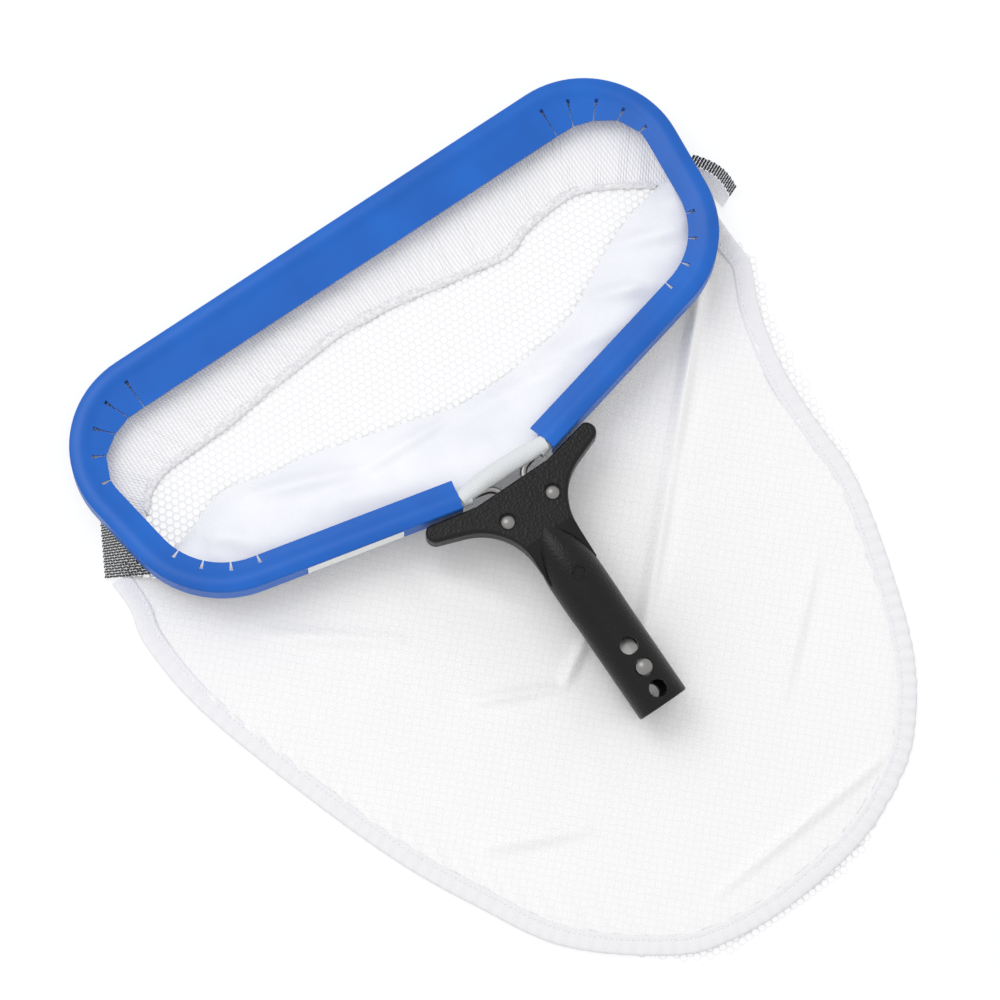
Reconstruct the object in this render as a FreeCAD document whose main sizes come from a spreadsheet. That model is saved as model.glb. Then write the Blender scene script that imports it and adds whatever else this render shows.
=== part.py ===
"""Leaf skimmer net: a riveted wire mouth in a scoop edge, a nylon yoke with a pole spigot, and a cloth bag.

Millimetres. The net lies on its spread bag. +X runs along the leading edge, +Y points from the handle
to the leading edge, +Z is up, and the origin is on the floor, halfway along the net.
"""

import FreeCAD, Part
import math
import os
import Sketcher

doc = FreeCAD.newDocument("leaf_skimmer_net")

# Driving dimensions
SIZES = {
    # Mouth, measured on the outer face of the scoop edge
    "mouth_width": 384.6,
    "mouth_depth": 182.3,
    "front_corner_radius": 50.5,
    "back_corner_radius": 54.0,
    "side_taper": 7.4,
    "back_slope": 13.2,
    "lead_height": 13.7,
    "mouth_tilt": 6.5,
    # Wire frame, riveted into the yoke
    "wire_diameter": 4.0,
    "wire_bend_radius": 8.0,
    "wire_bend_at": 6.4,
    # Sleeve of the bag round the wire
    "sleeve_diameter": 8.6,
    "sleeve_bore": 4.6,
    "sleeve_end": 22.0,
    "bridge_width": 6.0,
    "bridge_overlap": 2.0,
    # Scoop edge extrusion
    "edge_wall": 1.3,
    "edge_height": 13.0,
    "edge_crown": 1.5,
    "crown_turn": 24.0,
    "crease_round": 15.0,
    "crease_reach": 2.5,
    "lip_wide": 18.0,
    "lip_second": 16.0,
    "lip_third": 13.0,
    "lip_fourth": 8.5,
    "lip_narrow": 6.0,
    "lip_slope": 10.0,
    "lip_wall": 1.4,
    "leg_height": 5.6,
    "edge_end": 28.5,
    "kerf_width": 0.6,
    "kerf_root": 2.2,
    "kerf_taper": 5.5,
    "front_kerf_start": 2.0,
    "front_kerf_step": 21.0,
    "front_kerfs": 5.0,
    "back_kerf_start": 22.0,
    "back_kerf_step": 19.6,
    "back_kerfs": 4.0,
    # Blank sticker on the outer wall
    "label_length": 55.0,
    "label_height": 9.5,
    "label_sheet": 0.15,
    "label_from_end": 34.0,
    "label_margin": 0.9,
    # Yoke and spigot
    "yoke_thickness": 11.0,
    "yoke_top": -2.0,
    "yoke_gap": 1.4,
    "arm_reach": 55.0,
    "arm_tip_radius": 5.5,
    "arm_rise": 20.0,
    "neck_fillet": 34.0,
    "yoke_edge_round": 2.0,
    "spigot_diameter": 29.8,
    "spigot_bore": 24.2,
    "spigot_length": 58.0,
    "grip_diameter": 30.4,
    "handle_tilt": 11.0,
    "handle_end": 319.3,
    "handle_length": 122.5,
    "handle_drop": 7.6,
    "nose_length": 40.0,
    "nose_rise": 12.0,
    "neck_run": 16.0,
    "neck_slant": 22.0,
    "bore_depth": 76.0,
    "end_round": 1.2,
    "mark_diameter": 8.0,
    "mark_depth": 0.5,
    "mark_from_end": 83.5,
    # Rivets
    "rivet_shank": 5.0,
    "rivet_head": 8.4,
    "rivet_dome": 2.2,
    "rivet_tail": 7.2,
    "tail_dome": 1.5,
    "rivet_spread": 14.7,
    "rivet_back": 195.3,
    "rivet_recess": 1.0,
    "recess_diameter": 10.0,
    # Spring clip and buttons
    "end_hole_at": 9.0,
    "button_at": 22.5,
    "inner_hole_at": 36.5,
    "cross_hole": 10.0,
    "button_diameter": 9.0,
    "button_stand": 2.8,
    "button_dome": 2.5,
    "button_stem": 4.0,
    "button_tail": 6.0,
    "tail_height": 0.8,
    "leaf_thickness": 0.7,
    "leaf_width": 9.0,
    "leaf_face": 10.75,
    "leaf_tip": 16.0,
    "leaf_bend": 32.0,
    "clip_nose_at": 63.0,
    "clip_nose": 3.35,
    # Bag
    "bag_length": 456.0,
    "bag_width": 400.0,
    "shoulder_back": 130.0,
    "tail_radius": 150.0,
    "tail_turn": 26.0,
    "net_sheet": 0.8,
    "panel_sheet": 0.8,
    "hem_width": 11.0,
    "hem_wall": 0.9,
    "hem_height": 3.1,
    "net_front": 64.0,
    "net_front_width": 316.0,
    "collar_front": 5.0,
    "collar_back": 61.5,
    "collar_corner": 46.0,
    "funnel_sheet": 1.0,
    "funnel_back": 118.0,
    "funnel_width": 330.0,
    "funnel_corner": 24.0,
    "funnel_cut": 72.0,
    "seam_width": 6.0,
    "seam_height": 1.8,
    "seam_length": 262.0,
    "gusset_front": 90.0,
    "gusset_back": 127.0,
    "gusset_height": 12.0,
    "gusset_lean": 7.0,
    "gusset_sheet": 0.8,
    # Clearances
    "slip": 0.2,
    "cloth_gap": 0.3,
}

sheet = doc.addObject("Spreadsheet::Sheet", "sizes")
for row, (alias, amount) in enumerate(SIZES.items(), start=1):
    sheet.set(f"A{row}", alias.replace("_", " "))
    sheet.set(f"B{row}", str(amount))
    sheet.setAlias(f"B{row}", alias)
doc.recompute()


class Size:
    """A length or angle from the sheet: its value now, and the expression that keeps it bound."""

    def __init__(self, value, text):
        self.value = float(value)
        self.text = text

    def __add__(self, other):
        other = as_size(other)
        return Size(self.value + other.value, f"({self.text} + {other.text})")

    def __sub__(self, other):
        other = as_size(other)
        return Size(self.value - other.value, f"({self.text} - {other.text})")

    def __mul__(self, other):
        other = as_size(other)
        return Size(self.value * other.value, f"({self.text} * {other.text})")

    def __truediv__(self, other):
        other = as_size(other)
        return Size(self.value / other.value, f"({self.text} / {other.text})")

    def __neg__(self):
        return Size(-self.value, f"(0 - {self.text})")

    __radd__ = __add__
    __rmul__ = __mul__

    def __rsub__(self, other):
        return as_size(other) - self


def as_size(amount):
    return amount if isinstance(amount, Size) else Size(amount, f"{float(amount):.6f}")


def of(alias):
    return Size(sheet.get(alias), f"sizes.{alias}")


def sine(angle):
    return Size(math.sin(math.radians(angle.value)), f"sin({angle.text})")


def cosine(angle):
    return Size(math.cos(math.radians(angle.value)), f"cos({angle.text})")


def tangent(angle):
    return sine(angle) / cosine(angle)


def root(amount):
    return Size(math.sqrt(amount.value), f"sqrt({amount.text})")


def bind(thing, path, amount):
    amount = as_size(amount)
    thing.setExpression(path, amount.text)


# Sketch and body helpers
def new_body(name):
    body = doc.addObject("PartDesign::Body", name)
    body.Label = name
    return body


def new_sketch(body, role, name, at=(0, 0, 0), turn=None):
    """A sketch on one of the body's origin planes, moved by at and turned in its own plane."""
    sketch = body.newObject("Sketcher::SketchObject", name)
    place(sketch, [p for p in body.Origin.OriginFeatures if p.Role == role][0], at, turn)
    return sketch


def loose_sketch(role, name, at=(0, 0, 0)):
    """A sketch that belongs to no body: role is XY, YZ or XZ."""
    sketch = doc.addObject("Sketcher::SketchObject", name)
    turns = {
        "XY": FreeCAD.Rotation(),
        "YZ": FreeCAD.Rotation(FreeCAD.Vector(1, 1, 1), 120),
        "XZ": FreeCAD.Rotation(FreeCAD.Vector(1, 0, 0), 90),
    }
    sketch.Placement = FreeCAD.Placement(FreeCAD.Vector(0, 0, 0), turns[role])
    for axis, amount in zip("xyz", at):
        bind(sketch, f".Placement.Base.{axis}", amount)
    return sketch


def place(sketch, support, at, turn):
    sketch.AttachmentSupport = [(support, "")]
    sketch.MapMode = "FlatFace"
    base = FreeCAD.Vector(*[as_size(a).value for a in at])
    spin = FreeCAD.Rotation(FreeCAD.Vector(0, 0, 1), turn.value if turn else 0)
    sketch.AttachmentOffset = FreeCAD.Placement(base, spin)
    for axis, amount in zip("xyz", at):
        bind(sketch, f".AttachmentOffset.Base.{axis}", amount)
    if turn:
        bind(sketch, ".AttachmentOffset.Rotation.Angle", turn)


def pin(sketch, shape, end, point):
    """Fixes one end of a sketch element at a point given in sizes."""
    for kind, amount in zip(("DistanceX", "DistanceY"), point):
        amount = as_size(amount)
        rule = sketch.addConstraint(Sketcher.Constraint(kind, -1, 1, shape, end, amount.value))
        sketch.setExpression(f"Constraints[{rule}]", amount.text)


def arc_between(start, end, radius, left):
    """The short arc from start to end, its centre to the left or right of the way there."""
    chord = end - start
    reach = math.sqrt(max(radius**2 - (chord.Length / 2) ** 2, 0))
    side = FreeCAD.Vector(-chord.y, chord.x, 0).normalize() * (reach if left else -reach)
    centre = (start + end) * 0.5 + side
    first = math.atan2(start.y - centre.y, start.x - centre.x)
    last = math.atan2(end.y - centre.y, end.x - centre.x)
    circle = Part.Circle(centre, FreeCAD.Vector(0, 0, 1), radius)
    return Part.ArcOfCircle(circle, first, last) if left else Part.ArcOfCircle(circle, last, first)


def trace(sketch, corners, closed=True):
    """Draws a chain of lines and arcs. A corner is (x, y), or (x, y, radius) where the span after it
    is an arc: a radius above 0 has its centre on the left, one below 0 on the right."""
    corners = [tuple(as_size(part) for part in corner) for corner in corners]
    spans = len(corners) if closed else len(corners) - 1
    ends = []
    for index in range(spans):
        here, there = corners[index], corners[(index + 1) % len(corners)]
        start = FreeCAD.Vector(here[0].value, here[1].value, 0)
        end = FreeCAD.Vector(there[0].value, there[1].value, 0)
        if len(here) == 2:
            shape = sketch.addGeometry(Part.LineSegment(start, end))
            ends.append((shape, 1, 2))
        else:
            left = here[2].value > 0
            size = here[2] if left else -here[2]
            shape = sketch.addGeometry(arc_between(start, end, size.value, left))
            ends.append((shape, 1, 2) if left else (shape, 2, 1))
            rule = sketch.addConstraint(Sketcher.Constraint("Radius", shape, size.value))
            sketch.setExpression(f"Constraints[{rule}]", size.text)
        pin(sketch, ends[-1][0], ends[-1][1], here[:2])
    for index in range(spans if closed else spans - 1):
        before, after = ends[index], ends[(index + 1) % len(ends)]
        sketch.addConstraint(Sketcher.Constraint("Coincident", before[0], before[2], after[0], after[1]))
    if not closed:
        pin(sketch, ends[-1][0], ends[-1][2], corners[-1][:2])
    return sketch


def ring(sketch, x, y, diameter):
    """A circle in a sketch, bound to its centre and diameter."""
    x, y, diameter = as_size(x), as_size(y), as_size(diameter)
    centre = FreeCAD.Vector(x.value, y.value, 0)
    circle = Part.Circle(centre, FreeCAD.Vector(0, 0, 1), diameter.value / 2)
    shape = sketch.addGeometry(circle)
    pin(sketch, shape, 3, (x, y))
    rule = sketch.addConstraint(Sketcher.Constraint("Diameter", shape, diameter.value))
    sketch.setExpression(f"Constraints[{rule}]", diameter.text)
    return sketch


def box_corners(low_x, low_y, high_x, high_y):
    return [(low_x, low_y), (high_x, low_y), (high_x, high_y), (low_x, high_y)]


def feature(body, kind, name, sketch, **settings):
    thing = body.newObject(f"PartDesign::{kind}", name)
    thing.Profile = sketch
    for key, amount in settings.items():
        setattr(thing, key, amount)
    body.Tip = thing
    return thing


def pad(body, name, sketch, length, midplane=False, reverse=False):
    thing = feature(body, "Pad", name, sketch, Reversed=reverse)
    thing.SideType = "Symmetric" if midplane else "One side"
    bind(thing, "Length", length)
    return thing


def pocket(body, name, sketch, length, midplane=False, reverse=False):
    thing = feature(body, "Pocket", name, sketch, Reversed=reverse)
    thing.SideType = "Symmetric" if midplane else "One side"
    bind(thing, "Length", length)
    return thing


def sweep(body, name, profile, path, cut=False):
    thing = feature(body, "SubtractivePipe" if cut else "AdditivePipe", name, profile)
    thing.Spine = path
    thing.Transition = "Right corner"
    return thing


def turned(body, name, sketch, axis="H_Axis", cut=False):
    thing = feature(body, "Groove" if cut else "Revolution", name, sketch)
    thing.ReferenceAxis = (sketch, [axis])
    thing.Angle = 360
    return thing


def both_sides(half, name):
    """The half piece and its mirror image across the net's middle plane, as one solid."""
    other = doc.addObject("Part::Mirroring", f"{name}_mirror")
    other.Source = half
    other.Normal = (1, 0, 0)
    whole = doc.addObject("Part::Fuse", name)
    whole.Base = half
    whole.Tool = other
    whole.Refine = True
    whole.Label = name
    return whole


# Places that more than one piece shares
tilt = of("mouth_tilt")
wire_inset = of("edge_wall") + of("slip") + of("sleeve_diameter") / 2
wire_level = -(of("edge_crown") + of("slip") * 2 + of("sleeve_diameter") / 2)
crease_inset = of("sleeve_diameter") / 2 + of("slip") + of("edge_wall") / 2
corner_x = of("mouth_width") / 2 - wire_inset - of("front_corner_radius")
corner_y = -(wire_inset + of("front_corner_radius"))
taper, slope = of("side_taper"), of("back_slope")


def back_centre():
    """The centre of the back corner's bend."""
    across = corner_x * cosine(taper) - corner_y * sine(taper)
    across = across + of("front_corner_radius") - of("back_corner_radius")
    along = of("mouth_depth") * cosine(slope) - wire_inset - of("back_corner_radius")
    spread = cosine(taper + slope)
    x = (across * cosine(slope) - sine(taper) * along) / spread
    y = (cosine(taper) * along - sine(slope) * across) / spread
    return x, -y


back_x, back_y = back_centre()


def back_line(x, offset=0):
    """The y of the mouth's back line at x, moved outward by offset from the wire."""
    reach = of("mouth_depth") * cosine(slope) - wire_inset + offset
    return -((reach - as_size(x) * sine(slope)) / cosine(slope))


def half_mouth(offset=0, last_x=0):
    """The right half of the mouth's outline, from the leading edge to last_x on the back line."""
    front, back = of("front_corner_radius") + offset, of("back_corner_radius") + offset
    return [
        (as_size(0), corner_y + front),
        (corner_x, corner_y + front, -front),
        (corner_x + front * cosine(taper), corner_y - front * sine(taper)),
        (back_x + back * cosine(taper), back_y - back * sine(taper), -back),
        (back_x + back * sine(slope), back_y - back * cosine(slope)),
        (as_size(last_x), back_line(last_x, offset)),
    ]


def on_mouth(piece):
    """Lays a piece that was drawn in the mouth's plane on the net: its back is raised."""
    piece.Placement = FreeCAD.Placement(
        FreeCAD.Vector(0, of("bag_length").value / 2, of("lead_height").value),
        FreeCAD.Rotation(FreeCAD.Vector(-1, 0, 0), tilt.value),
    )
    bind(piece, ".Placement.Base.y", of("bag_length") / 2)
    bind(piece, ".Placement.Base.z", of("lead_height"))
    bind(piece, ".Placement.Rotation.Angle", tilt)
    return piece


def on_floor(piece):
    """Puts a piece that was drawn on the floor, from the leading edge backward, on the net."""
    piece.Placement = FreeCAD.Placement(
        FreeCAD.Vector(0, of("bag_length").value / 2, 0), FreeCAD.Rotation()
    )
    bind(piece, ".Placement.Base.y", of("bag_length") / 2)
    return piece


# Scoop edge: a plastic extrusion clipped over the sleeve, with kerfs where it bends
def edge_profile(body):
    """The section at the middle of the leading edge; y runs outward, z up from the crown."""
    wall, crown = of("edge_wall"), of("edge_crown")
    inside = wire_inset * 2 - wall
    crease = wire_inset + crease_inset
    leg = inside + of("edge_wall")
    tip = crease + of("lip_wide")
    fall = tangent(of("lip_slope"))
    top, under = -crown, -(crown + of("lip_wall"))
    leg_foot = under - of("leg_height")
    turn = of("crown_turn")
    apart = crease * sine(turn)
    shoulder = top + crease * (cosine(turn) - cosine(as_size(30)))
    outer = (crease / 2 - apart) / (1 - sine(turn))
    valley = crease + of("crease_reach")
    corners = [
        (0, -of("edge_height")),
        (0, shoulder - outer * cosine(turn), outer),
        (apart - crease / 2, shoulder, crease),
        (-(crease / 2 + apart), shoulder, -of("crease_round")),
        (-valley, top - of("crease_reach") * fall),
        (-tip, top - of("lip_wide") * fall),
        (-tip, under - of("lip_wide") * fall),
        (-leg, under - (leg - crease) * fall),
        (-leg, leg_foot),
        (-inside, leg_foot),
        (-inside, under, -(inside - wall)),
        (-wall, under),
        (-wall, -of("edge_height")),
    ]
    return trace(new_sketch(body, "YZ_Plane", "edge_section"), corners)


def lip_trim(body):
    """The plan of what is trimmed off the wide lip beside and behind the front corners."""
    first, step = of("front_kerf_start"), of("front_kerf_step")
    narrow = -(crease_inset + of("lip_narrow"))
    crease = of("front_corner_radius") - crease_inset
    slim = of("front_corner_radius") + narrow
    outline = half_mouth(narrow)
    cuts = []
    for index, name in enumerate(("lip_wide", "lip_second", "lip_third", "lip_fourth", "lip_narrow")):
        turn, radius = first + step * index, crease - of(name)
        cuts.append((corner_x + radius * sine(turn), corner_y + radius * cosine(turn)))
    corners = [
        (0, corner_y),
        *cuts[:-1],
        (*cuts[-1], -slim),
        outline[2],
        outline[3],
        outline[4],
        outline[5],
    ]
    return trace(new_sketch(body, "XY_Plane", "lip_trim_plan"), corners)


def kerfs(body, name, centre, turn, radius, span, count, reverse):
    """Saw cuts across the lip round one bend, each widening to its root at the crease."""
    half, square = of("kerf_width") / 2, of("kerf_root") / 2
    top = radius - crease_inset - 1
    bottom = top - of("lip_wide") - 4
    corners = [
        (-half, bottom),
        (half, bottom),
        (half, top - of("kerf_taper")),
        (square, top),
        (-square, top),
        (-half, top - of("kerf_taper")),
    ]
    sketch = new_sketch(body, "XY_Plane", f"{name}_plan", at=(centre[0], centre[1], 0), turn=turn)
    trace(sketch, corners)
    cut = pocket(body, name, sketch, of("edge_height"))
    pattern = body.newObject("PartDesign::PolarPattern", f"{name}_row")
    pattern.Originals = [cut]
    pattern.Axis = (sketch, ["N_Axis"])
    pattern.Mode = "Extent"
    pattern.Reversed = reverse
    bind(pattern, "Angle", span)
    bind(pattern, "Occurrences", count)
    body.Tip = pattern


def make_scoop_edge():
    body = new_body("scoop_edge_half")
    path = trace(new_sketch(body, "XY_Plane", "edge_path"), half_mouth(0, of("edge_end")), closed=False)
    sweep(body, "edge_bar", edge_profile(body), path)
    pocket(body, "lip_trim", lip_trim(body), of("edge_height"))
    front_span = of("front_kerf_step") * (of("front_kerfs") - 1)
    front, turn = of("front_corner_radius"), -of("front_kerf_start")
    kerfs(body, "front_kerf", (corner_x, corner_y), turn, front, front_span, of("front_kerfs"), True)
    back_span = of("back_kerf_step") * (of("back_kerfs") - 1)
    back, turn = of("back_corner_radius"), as_size(270) - of("back_kerf_start")
    kerfs(body, "back_kerf", (back_x, back_y), turn, back, back_span, of("back_kerfs"), True)
    return on_mouth(both_sides(body, "scoop_edge"))


# Wire frame: a bent wire whose tails go into the yoke and hook round the rivets
def touch(point, centre, radius, left):
    """Where a line from a point touches a circle whose centre is on the line's left or right, and
    the line's direction."""
    run_x, run_y = centre[0] - point[0], centre[1] - point[1]
    gap = root(run_x * run_x + run_y * run_y)
    reach = root(gap * gap - radius * radius)
    swing = radius / gap if left else -(radius / gap)
    ahead = reach / gap
    way_x = run_x / gap * ahead + run_y / gap * swing
    way_y = run_y / gap * ahead - run_x / gap * swing
    return (point[0] + way_x * reach, point[1] + way_y * reach), (way_x, way_y)


def wire_tail(spare=0):
    """The path from the back line through the bend and round the rivet, and on by spare."""
    eye = of("rivet_shank") / 2 + of("wire_diameter") / 2 + of("slip")
    knee = (of("wire_bend_at"), back_line(of("wire_bend_at")))
    rivet = (of("rivet_spread"), -of("rivet_back"))
    first, way = touch(knee, rivet, eye, left=True)
    line = (-cosine(slope), -sine(slope))
    bend = of("wire_bend_radius")
    turn_cos = line[0] * way[0] + line[1] * way[1]
    half_tan = root((1 - turn_cos) / (1 + turn_cos))
    setback = bend * half_tan
    enter = (knee[0] - line[0] * setback, knee[1] - line[1] * setback)
    leave = (knee[0] + way[0] * setback, knee[1] + way[1] * setback)
    low = (rivet[0] + way[0] * eye, rivet[1] + way[1] * eye)
    last = (rivet[0] * 2 - first[0], rivet[1] * 2 - first[1])
    tail = [(*enter, bend), leave, (*first, eye), (*low, eye), last]
    return tail + [(last[0] - way[0] * spare, last[1] - way[1] * spare)] if spare else tail


def wire_path(body, name, spare=0):
    sketch = new_sketch(body, "XY_Plane", name, at=(0, 0, wire_level))
    return trace(sketch, half_mouth()[:5] + wire_tail(spare), closed=False)


def round_section(body, name, diameters):
    """Circles round the wire at the middle of the leading edge."""
    sketch = new_sketch(body, "YZ_Plane", name)
    for diameter in diameters:
        ring(sketch, corner_y + of("front_corner_radius"), wire_level, diameter)
    return sketch


def make_frame_wire():
    body = new_body("frame_wire_half")
    section = round_section(body, "wire_section", [of("wire_diameter")])
    sweep(body, "wire", section, wire_path(body, "wire_path"))
    return on_mouth(both_sides(body, "frame_wire"))


# Sleeve: the bag's own tube of cloth round the wire, which bridges the gap at the yoke
def make_rod_sleeve():
    body = new_body("wire_sleeve_half")
    section = round_section(body, "sleeve_section", [of("sleeve_diameter"), of("sleeve_bore")])
    path = trace(
        new_sketch(body, "XY_Plane", "sleeve_path", at=(0, 0, wire_level)),
        half_mouth(0, of("sleeve_end")), closed=False,
    )
    sweep(body, "sleeve_tube", section, path)
    end = of("sleeve_end") + of("bridge_overlap")
    back = back_line(end) + of("sleeve_bore") / 2 + of("cloth_gap")
    front = back + of("bridge_width")
    bridge = new_sketch(body, "XY_Plane", "bridge_plan", at=(0, 0, wire_level))
    trace(bridge, box_corners(0, back, end, front))
    pad(body, "bridge", bridge, of("sleeve_diameter") * 0.7, midplane=True)
    return on_mouth(both_sides(body, "wire_sleeve"))


# Blank sticker on the outer wall behind the mouth, on the left
def make_label():
    body = new_body("blank_label")
    middle = of("edge_end") + of("label_from_end") + of("label_length") / 2
    face = wire_inset + of("slip") / 4 + of("label_sheet") / 2
    centre_y = back_line(middle, face)
    sketch = new_sketch(body, "XY_Plane", "label_plan", at=(-middle, centre_y, 0), turn=-slope)
    half, sheet_half = of("label_length") / 2, of("label_sheet") / 2
    trace(sketch, box_corners(-half, -sheet_half, half, sheet_half))
    bind(sketch, ".AttachmentOffset.Base.z", -(of("edge_height") - of("label_height") - of("label_margin")))
    pad(body, "label_plate", sketch, of("label_height"), reverse=True)
    return on_mouth(body)


# Yoke and handle: one glass-filled nylon moulding
def yoke_plan(body):
    """The two arms and the neck, seen from above."""
    tip = of("arm_tip_radius")
    face = wire_inset + of("yoke_gap")
    tip_x = of("arm_reach") - tip
    tip_y = back_line(tip_x, face) - tip / cosine(slope)
    rise = of("arm_rise")
    neck = of("grip_diameter") / 2
    fillet = of("neck_fillet")
    front_x, front_y = tip_x + tip * sine(slope), tip_y + tip * cosine(slope)
    rear_x, rear_y = tip_x + tip * sine(rise), tip_y - tip * cosine(rise)
    corner = rear_y - (rear_x - neck) * tangent(rise)
    reach = fillet * tangent((as_size(90) - rise) / 2)
    flat_x = of("rivet_spread") + of("rivet_head")
    flat_y = back_line(flat_x, face)
    neck_end = corner - reach - of("neck_run")
    right = [
        (flat_x, flat_y),
        (front_x, front_y, -tip),
        (rear_x, rear_y),
        (neck + reach * cosine(rise), corner + reach * sine(rise), fillet),
        (neck, corner - reach),
        (neck, neck_end),
    ]
    left = [
        (-neck, neck_end),
        (-neck, corner - reach, fillet),
        (-(neck + reach * cosine(rise)), corner + reach * sine(rise)),
        (-rear_x, rear_y, -tip),
        (-front_x, front_y),
        (-flat_x, flat_y),
    ]
    level = of("yoke_top") - of("yoke_thickness") / 2
    sketch = new_sketch(body, "XY_Plane", "yoke_plan", at=(0, 0, level))
    return trace(sketch, right + left)


def slant_neck(body):
    """Cuts the top of the neck to a slope, so that it dies into the sides of the round handle."""
    top, run = of("yoke_top"), of("yoke_thickness") / tangent(of("neck_slant"))
    start = -(of("rivet_back") + of("rivet_head") * 2)
    corners = [
        (start, top),
        (start - run, top - of("yoke_thickness")),
        (start - run * 3, top - of("yoke_thickness")),
        (start - run * 3, top + 1),
        (start, top + 1),
    ]
    sketch = new_sketch(body, "YZ_Plane", "neck_slant_outline")
    pocket(body, "neck_slant", trace(sketch, corners), of("arm_reach") * 2, midplane=True)


def handle_sketch(body, name, along=0):
    """A sketch in the net's middle plane: x runs up the handle from its open end, y across it."""
    angle, along = of("handle_tilt"), as_size(along)
    drop = of("handle_drop") + (of("handle_end") - of("rivet_back")) * tangent(angle)
    at = (along * cosine(angle) - of("handle_end"), along * sine(angle) - drop, 0)
    return new_sketch(body, "YZ_Plane", name, at=at, turn=angle)


def round_yoke(body, plate):
    """Rounds the upper and lower edges of the yoke's arms."""
    doc.recompute()
    top = of("yoke_top").value
    bottom = top - of("yoke_thickness").value
    names = []
    for index, edge in enumerate(plate.Shape.Edges, start=1):
        levels = [corner.Point.z for corner in edge.Vertexes]
        if any(all(abs(z - face) < 1e-6 for z in levels) for face in (top, bottom)):
            names.append(f"Edge{index}")
    fillet = body.newObject("PartDesign::Fillet", "yoke_round")
    fillet.Base = (plate, names)
    bind(fillet, "Radius", of("yoke_edge_round"))
    body.Tip = fillet


def handle_tube(body):
    """The spigot, the grip and the nose that runs into the yoke, with the blind bore."""
    end_round, radius = of("end_round"), of("spigot_diameter") / 2
    grip, nose, rise = of("grip_diameter") / 2, of("nose_length"), of("nose_rise")
    length, step = of("handle_length"), of("spigot_length")
    outline = [
        (0, 0),
        (0, radius - end_round, -end_round),
        (end_round, radius),
        (step, radius),
        (step + 8, grip),
        (length - nose, grip, -(nose * nose + rise * rise) / (rise * 2)),
        (length, grip - rise),
        (length, 0),
    ]
    turned(body, "handle_tube", trace(handle_sketch(body, "handle_outline"), outline))
    inner, deep = of("spigot_bore") / 2, of("bore_depth")
    bore = [(-1, 0), (-1, inner), (deep - inner / 2, inner), (deep, inner / 2), (deep, 0)]
    turned(body, "bore", trace(handle_sketch(body, "bore_outline"), bore), cut=True)


def cross_holes(body):
    """Three holes through the spigot, and the round mark of the mould."""
    reach, half = of("spigot_diameter"), of("cross_hole") / 2
    for alias in ("end_hole_at", "button_at", "inner_hole_at"):
        sketch = handle_sketch(body, f"{alias}_outline", of(alias))
        trace(sketch, box_corners(0, -reach, half, reach))
        turned(body, alias.replace("_at", "_pair"), sketch, "V_Axis", cut=True)
    mark = handle_sketch(body, "mark_outline", of("mark_from_end"))
    floor = of("grip_diameter") / 2 - of("mark_depth")
    trace(mark, box_corners(0, floor, of("mark_diameter") / 2, floor + 4))
    turned(body, "mould_mark", mark, "V_Axis", cut=True)


def rivet_seats(body):
    """Through holes and shallow seats for the two rivets, above and below."""
    top = of("yoke_top")
    cuts = (
        ("rivet_hole", top, of("rivet_shank") + of("slip"), of("yoke_thickness"), False),
        ("head_seat", top, of("recess_diameter"), of("rivet_recess"), False),
        ("tail_seat", top - of("yoke_thickness"), of("recess_diameter"), of("rivet_recess"), True),
    )
    for name, level, diameter, depth, upward in cuts:
        sketch = new_sketch(body, "XY_Plane", f"{name}_plan", at=(0, 0, level))
        ring(sketch, of("rivet_spread"), -of("rivet_back"), diameter)
        ring(sketch, -of("rivet_spread"), -of("rivet_back"), diameter)
        pocket(body, name, sketch, depth, reverse=upward)


def wire_sockets(body):
    """The two channels inside the yoke that the wire's tails lie in."""
    section = round_section(body, "socket_section", [of("wire_diameter") + of("slip") * 2])
    path = wire_path(body, "socket_path", spare=of("cloth_gap"))
    socket = sweep(body, "wire_socket", section, path, cut=True)
    both = body.newObject("PartDesign::Mirrored", "wire_sockets")
    both.Originals = [socket]
    both.MirrorPlane = ([p for p in body.Origin.OriginFeatures if p.Role == "YZ_Plane"][0], [""])
    body.Tip = both


def make_handle_yoke():
    body = new_body("handle_yoke")
    round_yoke(body, pad(body, "yoke_plate", yoke_plan(body), of("yoke_thickness"), midplane=True))
    slant_neck(body)
    handle_tube(body)
    cross_holes(body)
    rivet_seats(body)
    wire_sockets(body)
    return on_mouth(body)


def dome(width, height):
    """The radius of a dome of this width and height."""
    half = width / 2
    return (half * half + height * height) / (height * 2)


# Rivets: domed stainless heads on top, formed tails below
def make_rivets():
    body = new_body("yoke_rivet_right")
    shank, head, tail = of("rivet_shank") / 2, of("rivet_head") / 2, of("rivet_tail") / 2
    seat = of("yoke_top") - of("rivet_recess") + of("slip") / 2
    foot = of("yoke_top") - of("yoke_thickness") + of("rivet_recess") - of("slip") / 2
    corners = [
        (0, foot - of("tail_dome"), dome(of("rivet_tail"), of("tail_dome"))),
        (tail, foot),
        (shank, foot),
        (shank, seat),
        (head, seat, dome(of("rivet_head"), of("rivet_dome"))),
        (0, seat + of("rivet_dome")),
    ]
    sketch = new_sketch(body, "XZ_Plane", "rivet_outline", at=(of("rivet_spread"), 0, of("rivet_back")))
    turned(body, "rivet", trace(sketch, corners), "V_Axis")
    other = doc.addObject("Part::Mirroring", "yoke_rivet_left")
    other.Source = body
    other.Normal = (1, 0, 0)
    pair = doc.addObject("Part::Compound", "yoke_rivets")
    pair.Links = [body, other]
    pair.Label = "yoke_rivets"
    return on_mouth(pair)


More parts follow.
